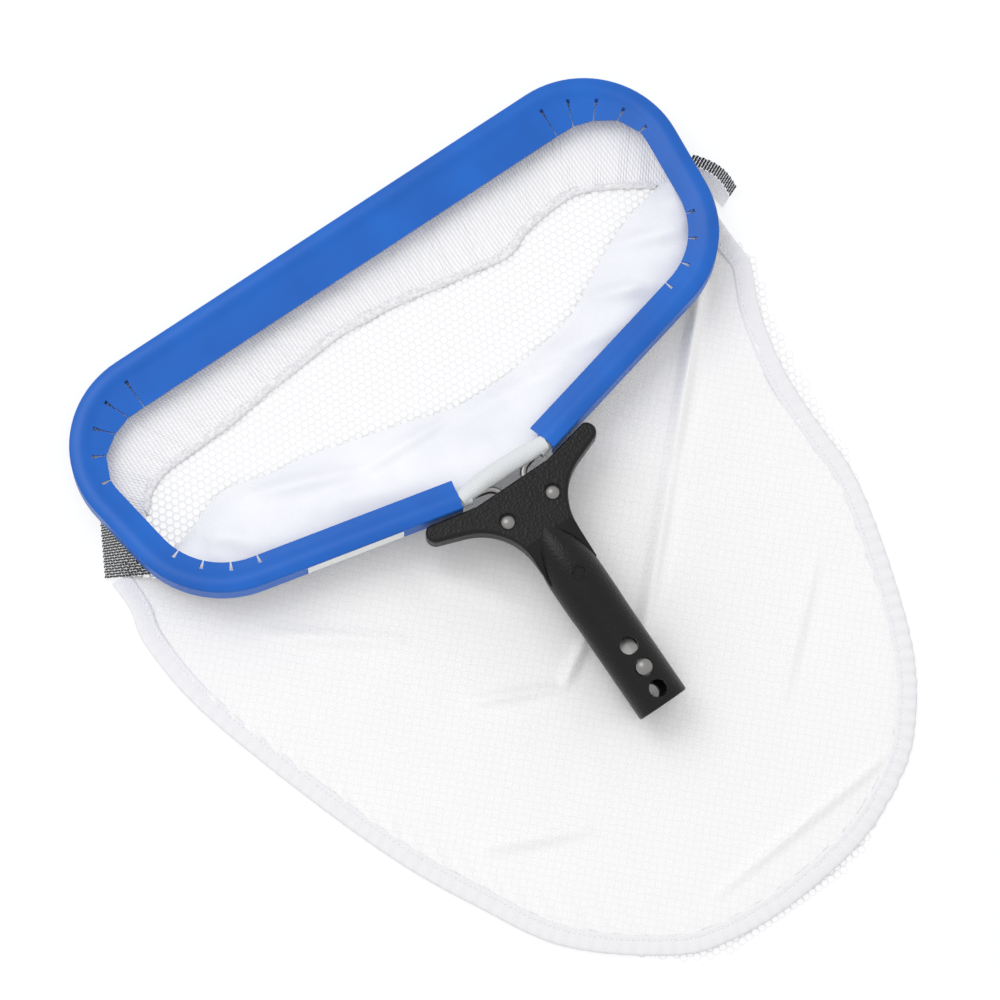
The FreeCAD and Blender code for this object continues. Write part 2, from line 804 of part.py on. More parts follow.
# Spring clip and its two buttons
def make_clip_spring():
    body = new_body("clip_spring")
    face, sheet_size, nose = of("leaf_face"), of("leaf_thickness"), of("clip_nose")
    tip, bend, centre = of("leaf_tip"), of("leaf_bend"), of("clip_nose_at")
    end, way = touch((bend, face), (centre, as_size(0)), nose, left=False)
    out_x, out_y = (end[0] - centre) / nose, end[1] / nose
    shift = sheet_size * (out_y - 1) / way[1]
    inner_bend = bend - sheet_size * out_x + shift * way[0]
    inner_face, inner_nose = face - sheet_size, nose - sheet_size
    inner_end = (centre + out_x * inner_nose, out_y * inner_nose)
    outline = [
        (tip, face),
        (bend, face),
        (end[0], end[1], -nose),
        (end[0], -end[1]),
        (bend, -face),
        (tip, -face),
        (tip, -inner_face),
        (inner_bend, -inner_face),
        (inner_end[0], -inner_end[1], inner_nose),
        inner_end,
        (inner_bend, inner_face),
        (tip, inner_face),
    ]
    leaf = trace(handle_sketch(body, "leaf_outline"), outline)
    pad(body, "leaf", leaf, of("leaf_width"), midplane=True)
    hole = handle_sketch(body, "stem_hole_outline", of("button_at"))
    trace(hole, box_corners(0, -face - 1, of("button_stem") / 2 + of("slip") / 2, face + 1))
    turned(body, "stem_holes", hole, "V_Axis", cut=True)
    return on_mouth(body)


def make_button(name, side):
    """A domed button with a stem through the leaf: side is 1 for the upper one, -1 for the lower."""
    body = new_body(name)
    gap, face = of("slip") / 2, of("leaf_face")
    radius, stem, tail = of("button_diameter") / 2, of("button_stem") / 2, of("button_tail") / 2
    base, under = face + gap, face - of("leaf_thickness") - gap
    top = of("spigot_diameter") / 2 + of("button_stand")
    crown = dome(of("button_diameter"), of("button_dome"))
    outline = [
        (0, under - of("tail_height")),
        (tail, under - of("tail_height")),
        (tail, under),
        (stem, under),
        (stem, base),
        (radius, base),
        (radius, top - of("button_dome"), crown),
        (0, top),
    ]
    if side < 0:
        outline = [(0, -top, crown), (radius, of("button_dome") - top)] + [
            (as_size(corner[0]), -as_size(corner[1])) for corner in reversed(outline[:6])
        ]
    turned(body, f"{name}_turned", trace(handle_sketch(body, f"{name}_outline", of("button_at")), outline),
           "V_Axis")
    return on_mouth(body)


# Bag, laid flat behind the mouth. Its plan is a U: two long side arcs that run into the tail's arc.
def bag_outline(offset=0):
    """The U from the right shoulder round the tail to the left one, moved outward by offset."""
    tail, turn = of("tail_radius"), of("tail_turn")
    middle = -(of("bag_length") - tail)
    shoulder = (of("bag_width") / 2, -of("shoulder_back"))
    out = (cosine(turn), -sine(turn))
    join = (out[0] * tail, middle + out[1] * tail)
    run = (join[0] - shoulder[0], join[1] - shoulder[1])
    side = (run[0] * run[0] + run[1] * run[1]) / ((run[0] * out[0] + run[1] * out[1]) * 2)
    hub = (join[0] - out[0] * side, join[1] - out[1] * side)
    grow = (side + offset) / side
    start = (hub[0] + (shoulder[0] - hub[0]) * grow, hub[1] + (shoulder[1] - hub[1]) * grow)
    join = (out[0] * (tail + offset), middle + out[1] * (tail + offset))
    return [
        (start[0], start[1], -(side + offset)),
        (join[0], join[1], -(tail + offset)),
        (-join[0], join[1], -(side + offset)),
        (-start[0], start[1]),
    ]


def flat_piece(name, corners, thickness, level):
    """A piece of cloth cut to a plan and laid at a height over the floor."""
    body = new_body(name)
    sketch = new_sketch(body, "XY_Plane", f"{name}_plan", at=(0, 0, level))
    pad(body, f"{name}_sheet", trace(sketch, corners), thickness)
    return body


cloth_edge = -(of("hem_wall") + of("cloth_gap"))
second_level = of("net_sheet") + of("cloth_gap")


def make_bottom_net():
    half = of("net_front_width") / 2
    corners = bag_outline(cloth_edge) + [(-half, -of("net_front")), (half, -of("net_front"))]
    return on_floor(flat_piece("bottom_net", corners, of("net_sheet"), 0))


def make_upper_panel():
    half = of("funnel_width") / 2 - of("funnel_corner")
    front = -(of("funnel_back") + 4)
    corners = bag_outline(cloth_edge) + [(-half, front), (half, front)]
    return on_floor(flat_piece("upper_panel", corners, of("panel_sheet"), second_level))


def make_front_collar():
    corner = of("collar_corner")
    front, back = -of("collar_front"), -of("collar_back")
    side = front - corner
    corners = [
        (-corner_x, front),
        (corner_x, front, -corner),
        (corner_x + corner, side),
        (corner_x + corner + side - back - 20, back),
        (20 - corner_x - corner - side + back, back),
        (-corner_x - corner, side, -corner),
    ]
    return on_floor(flat_piece("front_collar", corners, of("net_sheet"), 0))


def make_collar_seam():
    half, middle = of("seam_length") / 2, -(of("collar_back") + of("net_front")) / 2
    low, high = middle - of("seam_width") / 2, middle + of("seam_width") / 2
    corners = box_corners(-half, low, half, high)
    return on_floor(flat_piece("collar_seam", corners, of("seam_height"), second_level))


def make_hem():
    """The folded tape round the bag: a rim down to the floor and a flange over both cloths."""
    body = new_body("hem_binding")
    sketch = new_sketch(body, "XY_Plane", "hem_plan")
    pad(body, "hem_tape", trace(sketch, band(bag_outline(), bag_outline(-of("hem_width")))), of("hem_height"))
    slot = new_sketch(body, "XY_Plane", "hem_slot_plan")
    trace(slot, band(bag_outline(-of("hem_wall")), bag_outline(-of("hem_width") - 2)))
    pocket(body, "hem_slot", slot, second_level + of("panel_sheet") + of("cloth_gap"), reverse=True)
    return on_floor(body)


def band(outer, inner):
    """The strip between two U outlines, as one closed chain."""
    back = [
        inner[3][:2] + (-inner[2][2],),
        inner[2][:2] + (-inner[1][2],),
        inner[1][:2] + (-inner[0][2],),
        inner[0][:2],
    ]
    return outer + back


# Back panel: the cloth that comes down from the back and the sides of the mouth onto the net
def mouth_loop(offset):
    right = half_mouth(offset)
    left = [
        (-right[4][0], right[4][1], right[3][2]),
        (-right[3][0], right[3][1]),
        (-right[2][0], right[2][1], right[1][2]),
    ]
    return [(-right[1][0], right[1][1])] + right[1:] + left


def funnel_foot(offset):
    corner = of("funnel_corner")
    half = of("funnel_width") / 2 + offset
    front, back = offset - of("net_front"), -(of("funnel_back") + offset)
    return [
        (corner - half, front),
        (half - corner, front, -corner),
        (half, front - corner),
        (half, back + corner, -corner),
        (half - corner, back),
        (0, back),
        (corner - half, back, -corner),
        (-half, back + corner),
        (-half, front - corner, -corner),
    ]


def cloth_loop(name, corners, level, tilted):
    """A closed sketch of the funnel, flat on the net or in the mouth's tilted plane."""
    sketch = trace(doc.addObject("Sketcher::SketchObject", name), corners)
    level = as_size(level)
    sketch.Placement = FreeCAD.Placement(
        FreeCAD.Vector(0, 0, 0), FreeCAD.Rotation(FreeCAD.Vector(-1, 0, 0), tilt.value if tilted else 0)
    )
    angle = tilt if tilted else as_size(0)
    base = of("lead_height") if tilted else as_size(0)
    bind(sketch, ".Placement.Base.y", of("bag_length") / 2 + level * sine(angle))
    bind(sketch, ".Placement.Base.z", base + level * cosine(angle))
    if tilted:
        bind(sketch, ".Placement.Rotation.Angle", tilt)
    return sketch


def loft(name, inset, lift):
    rise = wire_level - of("sleeve_diameter") / 2 - of("cloth_gap") + lift
    foot = cloth_loop(f"{name}_foot", funnel_foot(-inset), second_level + lift, False)
    head = cloth_loop(f"{name}_head", mouth_loop(-inset), rise, True)
    shape = doc.addObject("Part::Loft", name)
    shape.Sections = [foot, head]
    shape.Solid = True
    shape.Ruled = True
    return shape


def make_back_panel():
    outer = loft("funnel_outside", as_size(0), as_size(0))
    inner = loft("funnel_inside", of("funnel_sheet"), of("funnel_sheet"))
    floor = doc.addObject("Part::Extrusion", "funnel_floor")
    floor.Base = cloth_loop("funnel_floor_plan", funnel_foot(-of("funnel_sheet")), 0, False)
    floor.DirMode = "Normal"
    floor.Solid = True
    bind(floor, "LengthFwd", second_level + of("funnel_sheet"))
    hollow = doc.addObject("Part::MultiFuse", "funnel_hollow")
    hollow.Shapes = [inner, floor]
    wall = doc.addObject("Part::Cut", "funnel_wall")
    wall.Base, wall.Tool = outer, hollow
    front = doc.addObject("Part::Box", "funnel_front")
    bind(front, "Length", of("bag_width") * 2)
    bind(front, "Width", of("funnel_cut"))
    bind(front, "Height", of("lead_height") * 4)
    bind(front, ".Placement.Base.x", -of("bag_width"))
    bind(front, ".Placement.Base.y", of("bag_length") / 2 - of("funnel_cut"))
    panel = doc.addObject("Part::Cut", "back_panel")
    panel.Base, panel.Tool = wall, front
    panel.Label = "back_panel"
    return panel


# Gussets: two slanting strips of mesh between the shoulders of the bag and the mouth's sides
def make_gusset(name, side):
    body = new_body(name)
    foot = of("bag_width") / 2 - of("gusset_sheet") - 1
    head, high = foot - of("gusset_lean"), of("gusset_height")
    corners = [(foot, 0), (foot + of("gusset_sheet"), 0), (head + of("gusset_sheet"), high), (head, high)]
    if side < 0:
        corners = [(-as_size(x), y) for x, y in reversed(corners)]
    sketch = new_sketch(body, "XZ_Plane", f"{name}_outline", at=(0, 0, of("gusset_front")))
    pad(body, f"{name}_strip", trace(sketch, corners), of("gusset_back") - of("gusset_front"))
    return on_floor(body)


pieces = {
    "handle_yoke": make_handle_yoke(),
    "frame_wire": make_frame_wire(),
    "scoop_edge": make_scoop_edge(),
    "yoke_rivets": make_rivets(),
    "clip_spring": make_clip_spring(),
    "upper_button": make_button("upper_button", 1),
    "lower_button": make_button("lower_button", -1),
    "wire_sleeve": make_rod_sleeve(),
    "front_collar": make_front_collar(),
    "collar_seam": make_collar_seam(),
    "back_panel": make_back_panel(),
    "bottom_net": make_bottom_net(),
    "upper_panel": make_upper_panel(),
    "hem_binding": make_hem(),
    "left_gusset": make_gusset("left_gusset", -1),
    "right_gusset": make_gusset("right_gusset", 1),
    "blank_label": make_label(),
}

doc.recompute()

for thing in doc.Objects:
    if "Invalid" in thing.State or "Error" in thing.State:
        raise RuntimeError(f"{thing.Name} did not compute: {thing.State}")

os.makedirs("parts", exist_ok=True)
for node, piece in pieces.items():
    shape = piece.Shape
    if shape.isNull() or not shape.isValid() or not shape.Solids:
        raise RuntimeError(f"{node} is not a valid solid")
    if piece.Label != node:
        raise RuntimeError(f"{piece.Label} should be labelled {node}")
    shape.exportStep(f"parts/{node}.step")
    print(node, len(shape.Solids), round(shape.Volume, 1))
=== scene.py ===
import math

import bmesh
import bpy
from mathutils import Matrix, Vector, noise
from mathutils.bvhtree import BVHTree


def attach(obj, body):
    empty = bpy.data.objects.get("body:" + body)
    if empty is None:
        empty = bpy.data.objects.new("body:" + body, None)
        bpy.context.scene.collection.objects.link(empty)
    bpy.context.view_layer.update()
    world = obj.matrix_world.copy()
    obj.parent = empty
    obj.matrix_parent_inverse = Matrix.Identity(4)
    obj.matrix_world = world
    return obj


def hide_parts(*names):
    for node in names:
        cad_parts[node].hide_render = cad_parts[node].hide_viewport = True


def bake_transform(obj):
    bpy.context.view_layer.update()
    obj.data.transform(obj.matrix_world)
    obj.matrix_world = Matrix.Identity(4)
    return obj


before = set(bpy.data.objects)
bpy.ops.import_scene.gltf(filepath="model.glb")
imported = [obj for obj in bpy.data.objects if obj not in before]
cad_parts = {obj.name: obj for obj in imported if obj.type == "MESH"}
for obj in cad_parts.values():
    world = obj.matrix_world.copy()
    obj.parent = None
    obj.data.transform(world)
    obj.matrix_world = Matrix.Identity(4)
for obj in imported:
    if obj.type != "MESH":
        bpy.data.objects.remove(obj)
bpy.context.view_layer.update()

scene = bpy.context.scene
scene.view_settings.view_transform = "Standard"

# Camera
# It stands almost overhead, a little towards the left end of the handle, and far off with a long
# lens, as for a catalogue picture. One pixel of the 1000 takes in 0.54 mm of the net.
rise, swing, roll = math.radians(77), math.radians(-56.7), math.radians(22.1)
towards = Vector((math.cos(rise) * math.sin(swing), -math.cos(rise) * math.cos(swing), math.sin(rise)))
level = Vector((0, 0, 1)).cross(towards).normalized()
upright = towards.cross(level)
right = level * math.cos(roll) + upright * math.sin(roll)
above = upright * math.cos(roll) - level * math.sin(roll)
distance = 2.4
aim = Vector((0, 0, 0.010)) - right * 0.0336 + above * 0.0360
camera = bpy.data.objects.new("camera", bpy.data.cameras.new("camera"))
camera.data.sensor_width = 36
camera.data.lens = 160.1
turn = Matrix((right, above, towards)).transposed().to_4x4()
camera.matrix_world = Matrix.Translation(aim + towards * distance) @ turn
scene.collection.objects.link(camera)
scene.camera = camera


# Studio floor and light
# A plain white table under one large softbox, up on the left of the picture, with white walls
# round it. The camera sees the table as white; the net's soft shadow stays on it.
def linear(code):
    """A colour as six figures, the way a screen takes it, turned into Blender's linear light."""
    parts = [int(code[i : i + 2], 16) / 255 for i in (1, 3, 5)]
    return [c / 12.92 if c <= 0.04045 else ((c + 0.055) / 1.055) ** 2.4 for c in parts] + [1]


def add(tree, kind, sockets=None, **settings):
    """One shader node: settings are its own choices, sockets its inputs, each a value or a link."""
    made = tree.nodes.new(kind)
    for name, value in settings.items():
        setattr(made, name, value)
    for name, value in (sockets or {}).items():
        if isinstance(value, bpy.types.NodeSocket):
            tree.links.new(value, made.inputs[name])
        else:
            made.inputs[name].default_value = value
    return made


def seen_white(tree, plain, lit):
    """Picks the lit shader where the camera, a gloss or clear plastic looks, and else the plain one."""
    path = add(tree, "ShaderNodeLightPath")
    looks = add(
        tree, "ShaderNodeMath", {0: path.outputs["Is Camera Ray"], 1: path.outputs["Is Glossy Ray"]}, operation="ADD"
    )
    looks = add(
        tree,
        "ShaderNodeMath",
        {0: looks.outputs[0], 1: path.outputs["Is Transmission Ray"]},
        operation="ADD",
        use_clamp=True,
    )
    return add(tree, "ShaderNodeMixShader", {0: looks.outputs[0], 1: plain, 2: lit}).outputs[0]


table_paint = bpy.data.materials.new("matt_white_table_paint")
table_paint.use_nodes = True
tree = table_paint.node_tree
tree.nodes.clear()
paint = add(tree, "ShaderNodeBsdfDiffuse", {"Color": linear("#D8D9DB")})
shaded = add(tree, "ShaderNodeBsdfDiffuse", {"Color": linear("#8A8C90")})
glow = add(tree, "ShaderNodeEmission", {"Color": linear("#FFFFFF"), "Strength": 0.76})
both = add(tree, "ShaderNodeAddShader", {0: shaded.outputs[0], 1: glow.outputs[0]})
add(tree, "ShaderNodeOutputMaterial", {"Surface": seen_white(tree, paint.outputs[0], both.outputs[0])})
table_mesh = bpy.data.meshes.new("table")
table_mesh.from_pydata([(-4, -4, -0.0002), (4, -4, -0.0002), (4, 4, -0.0002), (-4, 4, -0.0002)], [], [(0, 1, 2, 3)])
table = bpy.data.objects.new("table", table_mesh)
table.data.materials.append(table_paint)
scene.collection.objects.link(table)

room = bpy.data.worlds.new("white_room")
room.use_nodes = True
scene.world = room
tree = room.node_tree
tree.nodes.clear()
walls = add(tree, "ShaderNodeBackground", {"Color": linear("#FFFEFC"), "Strength": 0.89})
white = add(tree, "ShaderNodeBackground", {"Color": linear("#FFFFFF"), "Strength": 1.0})
add(tree, "ShaderNodeOutputWorld", {"Surface": seen_white(tree, walls.outputs[0], white.outputs[0])})

softbox = bpy.data.objects.new("softbox", bpy.data.lights.new("softbox", "AREA"))
softbox.data.shape = "SQUARE"
softbox.data.size = 1.2
softbox.data.energy = 11
shine = (above * 0.75 - right * 0.55 + towards * 1.0).normalized()
softbox.matrix_world = Matrix.Translation(shine * 2.0) @ shine.to_track_quat("Z", "Y").to_matrix().to_4x4()
scene.collection.objects.link(softbox)


# Scoop edge
# A C-shaped strip of extruded PVC, bent into a D and pushed over the wire and its sleeve. Saw
# kerfs in the lip let it bend. The skin is semi-matt, with the die's faint waves along it.
def new_finish(name, base, roughness, **sockets):
    """A material with one shader: returns it, its node tree and the shader."""
    made = bpy.data.materials.new(name)
    made.use_nodes = True
    shader = made.node_tree.nodes["Principled BSDF"]
    shader.inputs["Base Color"].default_value = linear(base)
    shader.inputs["Roughness"].default_value = roughness
    for socket, value in sockets.items():
        shader.inputs[socket.replace("_", " ")].default_value = value
    return made, made.node_tree, shader


def tint(tree, shader, amount, dark, pale):
    """Colours the shader between two tones by a value from 0 to 1."""
    ramp = add(tree, "ShaderNodeMix", {0: amount, 6: linear(dark), 7: linear(pale)}, data_type="RGBA")
    tree.links.new(ramp.outputs[2], shader.inputs["Base Color"])


def emboss(tree, shader, height, depth):
    """Raises the surface by a height from 0 to 1 times a depth in millimetres."""
    bump = add(tree, "ShaderNodeBump", {"Height": height, "Distance": depth * 0.001, "Strength": 1.0})
    tree.links.new(bump.outputs[0], shader.inputs["Normal"])
    return bump


def dress(name, finish):
    """Gives a CAD node its finish."""
    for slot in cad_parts[name].material_slots:
        slot.material = finish


edge_pvc, tree, shader = new_finish(
    "semi_matt_extruded_blue_pvc", "#0C5CB8", 0.38, IOR=1.53, Specular_IOR_Level=0.3
)
where = add(tree, "ShaderNodeTexCoord").outputs["Object"]
clouds = add(tree, "ShaderNodeTexNoise", {"Vector": where, "Scale": 1000 / 38, "Detail": 2.0})
tint(tree, shader, clouds.outputs[0], "#084FA6", "#0E69CE")
die_waves = add(tree, "ShaderNodeTexNoise", {"Vector": where, "Scale": 1000 / 9, "Detail": 3.0})
emboss(tree, shader, die_waves.outputs[0], 0.12)
dress("scoop_edge", edge_pvc)


# Yoke and handle
# One moulding of glass-filled nylon, near black: two arms that carry the wire, a neck, a spigot
# for the pole. Its tool was spark-eroded, so the skin is a fine even pebble with a dull sheen.
yoke_nylon, tree, shader = new_finish(
    "pebbled_moulded_glass_filled_nylon", "#0A0B0C", 0.34, IOR=1.53, Specular_IOR_Level=0.24
)
where = add(tree, "ShaderNodeTexCoord").outputs["Object"]
# The real grain is about 0.3 mm; it is drawn at 1.2 mm, the finest that shows.
grain = add(tree, "ShaderNodeTexVoronoi", {"Vector": where, "Scale": 1000 / 1.2}, feature="SMOOTH_F1")
emboss(tree, shader, grain.outputs["Distance"], 0.26)
cloud = add(tree, "ShaderNodeTexNoise", {"Vector": where, "Scale": 1000 / 14, "Detail": 4.0})
tint(tree, shader, cloud.outputs[0], "#040405", "#0D0E10")
dress("handle_yoke", yoke_nylon)

# The round insert in the mould leaves a low ring on top of the neck; its face is left blank.
yoke, rivets, button = [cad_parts[name] for name in ("handle_yoke", "yoke_rivets", "upper_button")]
skin = BVHTree.FromPolygons(
    [yoke.matrix_world @ v.co for v in yoke.data.vertices], [face.vertices for face in yoke.data.polygons]
)
ends = [
    sum((item.matrix_world @ v.co).y for v in item.data.vertices) / len(item.data.vertices) for item in (rivets, button)
]
ring_y = ends[0] + 0.42 * (ends[1] - ends[0])
points, faces = [], []
for i in range(48):
    a = 2 * math.pi * i / 48
    for r, up in ((3.1, -0.05), (3.3, 0.5), (4.0, 0.5), (4.2, -0.05)):
        spot = Vector((r * math.cos(a) * 0.001, ring_y + r * math.sin(a) * 0.001, 0.2))
        hit, normal = skin.ray_cast(spot, Vector((0, 0, -1)))[:2]
        points.append(hit + normal * up * 0.001)
    for j in range(3):
        k = i * 4 + j
        faces.append((k, (k + 4) % 192, (k + 5) % 192, k + 1))
ring_mesh = bpy.data.meshes.new("moulding_ring")
ring_mesh.from_pydata(points, [], faces)
ring_mesh.materials.append(yoke_nylon)
ring = bpy.data.objects.new("moulding_ring", ring_mesh)
scene.collection.objects.link(ring)
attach(ring, "net")

# Steel: the wire, the rivets, the spring and its buttons
# All are stainless. The wire is drawn, so it has a fine lengthwise shine; the rivet heads were
# set with a cupped punch and the buttons tumbled, which leaves a bright skin with small scuffs.
bright_steel, tree, shader = new_finish("tumbled_stainless_steel", "#8A8886", 0.40, Metallic=1.0)
where = add(tree, "ShaderNodeTexCoord").outputs["Object"]
scuffs = add(tree, "ShaderNodeTexNoise", {"Vector": where, "Scale": 1000 / 1.6, "Detail": 5.0})
emboss(tree, shader, scuffs.outputs[0], 0.05)
for piece in ("yoke_rivets", "upper_button", "lower_button"):
    dress(piece, bright_steel)
drawn_steel, tree, shader = new_finish("drawn_stainless_wire", "#8C8B8A", 0.32, Metallic=1.0, Anisotropic=0.5)
where = add(tree, "ShaderNodeTexCoord").outputs["Object"]
drawing = add(tree, "ShaderNodeTexNoise", {"Vector": where, "Scale": 1000 / 0.8, "Detail": 3.0})
emboss(tree, shader, drawing.outputs[0], 0.04)
for piece in ("frame_wire", "clip_spring"):
    dress(piece, drawn_steel)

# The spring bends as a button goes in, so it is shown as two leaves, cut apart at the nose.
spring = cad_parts["clip_spring"]
middles = []
for name in ("upper_button", "lower_button"):
    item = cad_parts[name]
    middles.append(sum((item.matrix_world @ Vector(corner) for corner in item.bound_box), Vector()) / 8)
centre, out = (middles[0] + middles[1]) / 2, (middles[0] - middles[1]).normalized()
for name, sign in (("upper_button", 1), ("lower_button", -1)):
    half = bmesh.new()
    half.from_mesh(spring.data)
    half.transform(spring.matrix_world)
    parts = half.verts[:] + half.edges[:] + half.faces[:]
    bmesh.ops.bisect_plane(half, geom=parts, plane_co=centre, plane_no=out * sign, clear_inner=True)
    mesh = bpy.data.meshes.new(name.replace("button", "spring_leaf"))
    half.to_mesh(mesh)
    half.free()
    mesh.materials.append(drawn_steel)
    mesh.polygons.foreach_set("material_index", [0] * len(mesh.polygons))
    leaf = bpy.data.objects.new(mesh.name, mesh)
    scene.collection.objects.link(leaf)
    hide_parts("clip_spring")
    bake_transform(leaf)

# Sticker
# A blank white vinyl sticker on the outside of the edge, left of the yoke. Satin film, with the
# slight mottling that shows where it bridges low spots in the plastic.
sticker_vinyl, tree, shader = new_finish("satin_white_vinyl_film", "#E9EBEA", 0.38, IOR=1.5)
where = add(tree, "ShaderNodeTexCoord").outputs["Object"]
mottle = add(tree, "ShaderNodeTexNoise", {"Vector": where, "Scale": 1000 / 6, "Detail": 3.0})
emboss(tree, shader, mottle.outputs[0], 0.08)
tint(tree, shader, mottle.outputs[0], "#E2E5E6", "#F0F1EF")
dress("blank_label", sticker_vinyl)

# Sleeve
# A tube of white cloth round the wire, sewn to the bag. Most of it hides inside the blue edge;
# at the yoke it leaves both cut ends and hangs slack across the gap, creased where it is bunched.
lead, tilt = 13.7, math.radians(6.5)
wire_in, wire_down = 5.8, -6.2
front_bend, back_bend = 50.5, 54.0
side_lean, back_lean = math.radians(7.4), math.radians(13.2)
mouth_half, mouth_deep = 384.6 / 2, 182.3


def on_table(x, back, up):
    """A point given in millimetres: across, back from the leading edge, and above the table."""
    return Vector((x, 228 - back, up)) * 0.001


def in_mouth(x, back, up):
    """The same for a point in the mouth's tilted plane."""
    slope = (back * math.cos(tilt) - up * math.sin(tilt), lead + back * math.sin(tilt) + up * math.cos(tilt))
    return Vector((x, 228 - slope[0], slope[1])) * 0.001


def wire_line(end):
    """The wire's path in the mouth's plane, from x = end on the right round the front to the left."""
    centre = (mouth_half - wire_in - front_bend, wire_in + front_bend)
    across = centre[0] * math.cos(side_lean) + centre[1] * math.sin(side_lean) + front_bend - back_bend
    reach = mouth_deep * math.cos(back_lean) - wire_in
    lean = math.cos(side_lean + back_lean)
    inner = (
        (across * math.cos(back_lean) - math.sin(side_lean) * (reach - back_bend)) / lean,
        (math.cos(side_lean) * (reach - back_bend) - math.sin(back_lean) * across) / lean,
    )
    half = []
    for i in range(25):
        a = math.radians(90) * i / 24 + side_lean * i / 24
        half.append((centre[0] + front_bend * math.sin(a), centre[1] - front_bend * math.cos(a)))
    for i in range(25):
        a = math.radians(90) + side_lean + (math.radians(90) - side_lean - back_lean) * i / 24
        half.append((inner[0] + back_bend * math.sin(a), inner[1] - back_bend * math.cos(a)))
    half.append((end, (reach - end * math.sin(back_lean)) / math.cos(back_lean)))
    return half[::-1] + [(-x, y) for x, y in half]


def even(points, step):
    """The same line with its points a step apart."""
    out, left = [Vector(points[0])], step
    for a, b in zip(points, points[1:]):
        a, b = Vector(a), Vector(b)
        run = (b - a).length
        while left <= run:
            out.append(a + (b - a) * (left / run))
            left += step
        left -= run
    return out


def surface(name, rows, finish, around=False):
    """A smooth skin through rows of points; around closes each row on itself."""
    count = len(rows[0])
    points = [p for row in rows for p in row]
    faces = []
    for i in range(len(rows) - 1):
        for j in range(count if around else count - 1):
            k = (j + 1) % count
            faces.append((i * count + j, i * count + k, (i + 1) * count + k, (i + 1) * count + j))
    mesh = bpy.data.meshes.new(name)
    mesh.from_pydata(points, [], faces)
    mesh.polygons.foreach_set("use_smooth", [True] * len(faces))
    mesh.materials.append(finish)
    made = bpy.data.objects.new(name, mesh)
    scene.collection.objects.link(made)
    return made


def rough(x, y, size, seed=0.0):
    """A smooth random height from -1 to 1 over the table, with hills of a size in millimetres."""
    return noise.noise(Vector((x / size, y / size, seed)))


def tube_rows(line, up, radius, sides=14):
    """Rings round a line in the mouth's plane; radius may vary along it and round it."""
    rows = []
    for i, p in enumerate(line):
        ahead, behind = line[min(i + 1, len(line) - 1)], line[max(i - 1, 0)]
        run = (ahead - behind).normalized()
        ring = []
        for k in range(sides):
            a = 2 * math.pi * k / sides
            r = radius(i, a)
            ring.append(
                in_mouth(p.x + run.y * r * math.cos(a), p.y - run.x * r * math.cos(a), up + r * math.sin(a))
            )
        rows.append(ring)
    return rows


def weave(tree, where, spacing):
    """Plain weave as a height: two sets of threads a spacing apart, in millimetres."""
    scale = 1000 * math.pi / (10 * spacing)
    warp = add(tree, "ShaderNodeTexWave", {"Vector": where, "Scale": scale, "Distortion": 0.6}, bands_direction="X")
    weft = add(tree, "ShaderNodeTexWave", {"Vector": where, "Scale": scale, "Distortion": 0.6}, bands_direction="Y")
    return add(tree, "ShaderNodeMath", {0: warp.outputs[1], 1: weft.outputs[1]}, operation="MULTIPLY").outputs[0]


sleeve_cloth_painted_shade, tree, shader = new_finish(
    "plain_woven_white_polyester_painted_shade", "#F7F6F6", 0.85, Sheen_Weight=0.15, Sheen_Roughness=0.5
)
where = add(tree, "ShaderNodeTexCoord").outputs["Object"]
# The real threads are 0.4 mm apart; they are drawn at 1.2 mm, the finest that shows.
threads = weave(tree, where, 1.2)
# The cloth is white; its grey tone is painted shade, for the shade the sleeve lies in inside the edge and across the
# gap, with the threads paler than the gaps between them.
tint(tree, shader, threads, "#D3D7DB", "#E9ECEE")
emboss(tree, shader, threads, 0.16)

wire = even(wire_line(22), 4)
sleeve_rows = tube_rows(wire, wire_down, lambda i, a: 4.3)
start, end = wire[0], wire[-1]
near, far = start + (start - end) * 0.14, end + (end - start) * 0.14
near.y, far.y = near.y - 1.5, far.y - 1.5
slack = [near + (far - near) * (i / 40) - Vector((0, 1.6 * math.sin(math.pi * i / 40))) for i in range(41)]


def bunched(i, a):
    """The slack stretch is fuller in the middle, with creases along and across it."""
    swell = 4.4 + 0.9 * math.sin(math.pi * i / 40)
    return swell + 0.22 * math.sin(3 * a + i * 0.12) + 0.3 * rough(i * 0.8, a * 2.0, 4.0, 4.0)


bridge_rows = tube_rows(slack, wire_down + 1.5, bunched, 20)
sleeve = surface("sleeve_on_wire", sleeve_rows, sleeve_cloth_painted_shade, around=True)
sleeve_bridge = surface("sleeve_across_gap", bridge_rows, sleeve_cloth_painted_shade, around=True)
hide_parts("wire_sleeve")
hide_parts("wire_sleeve")
for piece in (sleeve, sleeve_bridge):
    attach(piece, "net")


# Bag outline
# The bag lies flat and a little to the left, as it was put down. These points follow its rim from
# the right shoulder round the tail to the left one, across and back from the leading edge in mm.
rim_points = [
    (196, 98), (189, 112), (189, 129), (190, 147), (181, 173), (174, 209), (170, 244), (166, 278),
    (149, 334), (132, 376), (110, 407), (87, 426), (46, 445), (-6, 454), (-49, 447), (-78, 431),
    (-118, 395), (-142, 354), (-164, 309), (-186, 247), (-205, 180), (-209, 136), (-205, 116), (-205, 98),
]  # fmt: skip


def flowing(points, step):
    """A smooth line through the points, read off a step apart."""
    ends = [Vector(p) for p in points]
    ends = [ends[0] * 2 - ends[1]] + ends + [ends[-1] * 2 - ends[-2]]
    fine = []
    for a, b, c, d in zip(ends, ends[1:], ends[2:], ends[3:]):
        for k in range(12):
            t = k / 12
            fine.append(
                0.5 * (2 * b + (c - a) * t + (2 * a - 5 * b + 4 * c - d) * t * t + (3 * b - a - 3 * c + d) * t**3)
            )
    return even(fine + [ends[-2]], step)


rim = flowing(rim_points, 2.0)


